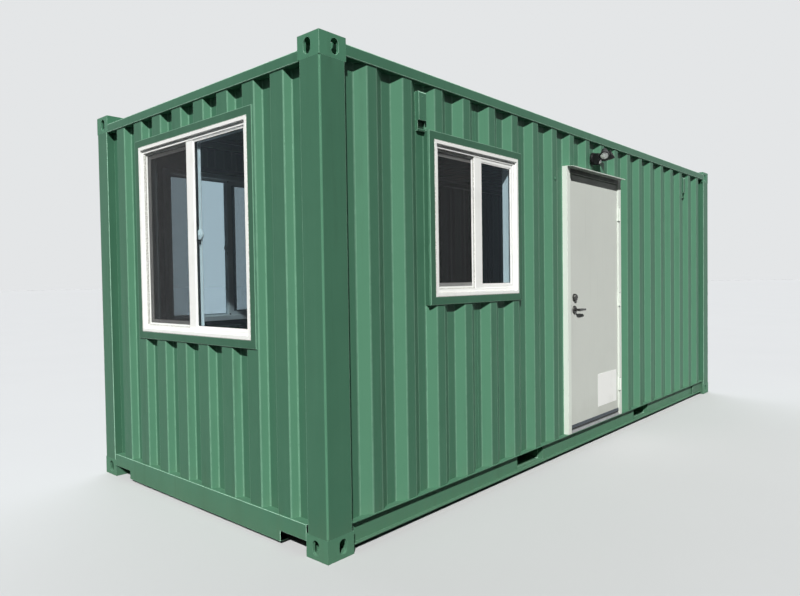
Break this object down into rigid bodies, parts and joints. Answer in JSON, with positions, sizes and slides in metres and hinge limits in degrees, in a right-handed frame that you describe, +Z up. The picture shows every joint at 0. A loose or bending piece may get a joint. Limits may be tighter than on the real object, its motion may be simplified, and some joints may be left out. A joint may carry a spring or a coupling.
{
  "type": "portable site cabin",
  "caption": "Steel freight container fitted out as a portable site cabin, with a personnel door, sliding windows, forklift pockets and corner castings.",
  "frame": {"origin": "middle of the four bottom socket apertures, on the plane that the corner castings stand on", "axes": "+X along the length away from the window end, +Y from the door side to the back, +Z up"},
  "size_m": [6.06, 2.5893, 2.591],
  "materials": {
    "green_paint": "satin green paint over pressed steel",
    "plywood": "worn sealed plywood",
    "white_vinyl": "white vinyl",
    "pane": "clear float glass",
    "door_paint": "satin off-white paint",
    "bare_aluminium": "mill finish",
    "black_rubber": "matt",
    "satin_nickel": "satin",
    "black_plastic": "matt"
  },
  "bodies": {
    "cabin": {"top_castings": "green_paint", "bottom_castings": "green_paint", "corner_posts": "green_paint", "side_top_rails": "green_paint", "end_top_rails": "green_paint", "side_bottom_rails": "green_paint", "fork_pockets": "green_paint", "end_sills": "green_paint", "floor_bearers": "green_paint", "roof_panel": "green_paint", "roof_end_plates": "green_paint", "front_wall_left": "green_paint", "front_wall_window_bay": "green_paint", "front_wall_middle": "green_paint", "front_wall_over_door": "green_paint", "front_wall_right": "green_paint", "back_wall_left": "green_paint", "back_wall_window_bay": "green_paint", "back_wall_right": "green_paint", "window_end_front": "green_paint", "window_end_bay": "green_paint", "window_end_back": "green_paint", "plain_end_wall": "green_paint", "side_window_surround": "green_paint", "end_window_surround": "green_paint", "back_window_surround": "green_paint", "vents": "green_paint", "floor_boards": "plywood", "side_window_frame": "white_vinyl", "end_window_frame": "white_vinyl", "back_window_frame": "white_vinyl", "sliding_sashes": "white_vinyl", "side_window_glass": "pane", "end_window_glass": "pane", "back_window_glass": "pane", "door_frame": "door_paint", "drip_cap": "door_paint", "frame_hinges": "door_paint", "door_threshold": "bare_aluminium", "security_lamp": "black_plastic"},
    "door": {"door_leaf": "door_paint", "door_sweep": "black_rubber", "door_hinges": "door_paint", "door_lock": "satin_nickel"},
    "lever": {"door_lever": "satin_nickel"}
  },
  "joints": [
    {"name": "door_swing", "type": "hinge", "parent": "cabin", "child": "door", "pos_m": [0.444, -1.228, 1.19], "axis": [0, 0, 1], "range_deg": [0, 110]},
    {"name": "lever_turn", "type": "hinge", "parent": "door", "child": "lever", "pos_m": [-0.389, -1.185, 1.131], "axis": [0, 1, 0], "range_deg": [0, 45], "stiffness_Nm_per_rad": 1.5, "springref_deg": -17.19}
  ]
}
